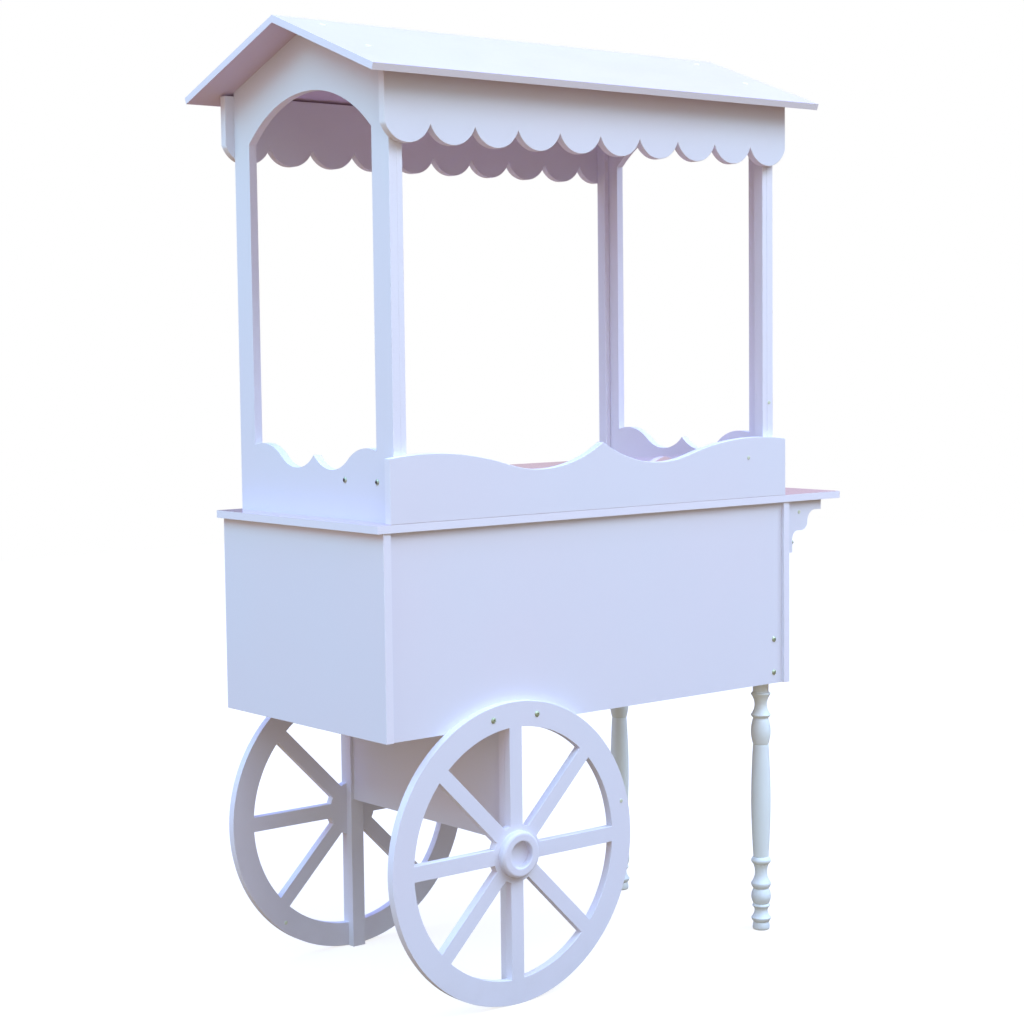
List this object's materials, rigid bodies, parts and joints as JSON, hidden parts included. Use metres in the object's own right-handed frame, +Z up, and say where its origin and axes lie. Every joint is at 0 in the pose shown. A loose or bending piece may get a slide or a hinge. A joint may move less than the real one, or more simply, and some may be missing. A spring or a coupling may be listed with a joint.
{
  "type": "candy cart",
  "caption": "Free-standing candy cart: a boxed cabinet and counter with a raised ledge, arched end frames and a scalloped gable canopy, on fixed show wheels and turned legs.",
  "frame": {"origin": "on the floor under the middle of the whole cart's box", "axes": "+Z up, +X along the cart from its wheels to its legs, -Y to its front with the wavy board"},
  "size_m": [1.337, 0.68, 2.0005],
  "materials": {
    "painted_board": "satin lavender-white paint",
    "turned_leg": "satin cool white paint",
    "pink_laminate": "glossy pale pink laminate",
    "zinc_steel": "zinc-plated",
    "roof_plug": "matt white",
    "screw_cap": "matt pale green-yellow"
  },
  "bodies": {
    "root": {"cabinet_left_end": "painted_board", "cabinet_right_end": "painted_board", "cabinet_front_panel": "painted_board", "rear_lower_rail": "painted_board", "rear_upper_rail": "painted_board", "cabinet_floor": "painted_board", "floor_cleats": "painted_board", "counter_cleats": "painted_board", "corner_cleats": "painted_board", "counter_board": "painted_board", "front_bracket": "painted_board", "rear_bracket": "painted_board", "left_end_frame": "painted_board", "right_end_frame": "painted_board", "batten_left_front": "painted_board", "batten_left_rear": "painted_board", "batten_right_front": "painted_board", "batten_right_rear": "painted_board", "wavy_front_board": "painted_board", "ledge_board": "painted_board", "front_valance": "painted_board", "rear_valance": "painted_board", "roof_front_board": "painted_board", "roof_rear_board": "painted_board", "front_wheel": "painted_board", "rear_wheel": "painted_board", "front_hub_ring": "painted_board", "rear_hub_ring": "painted_board", "front_wheel_post": "painted_board", "rear_wheel_post": "painted_board", "cross_panel": "painted_board", "front_wheel_bolts": "zinc_steel", "rear_wheel_bolts": "zinc_steel", "wheel_bolt_nuts": "zinc_steel", "front_leg_bolts": "zinc_steel", "rear_leg_bolts": "zinc_steel", "leg_bolt_nuts": "zinc_steel", "ledge_bolts": "zinc_steel", "ledge_barrel_nuts": "zinc_steel", "frame_screws": "zinc_steel", "post_screws": "zinc_steel", "bracket_screws": "zinc_steel", "roof_screws": "zinc_steel", "counter_laminate": "pink_laminate", "ledge_laminate": "pink_laminate", "front_leg": "turned_leg", "rear_leg": "turned_leg", "roof_plugs": "roof_plug", "screw_caps": "screw_cap"}
  },
  "joints": []
}
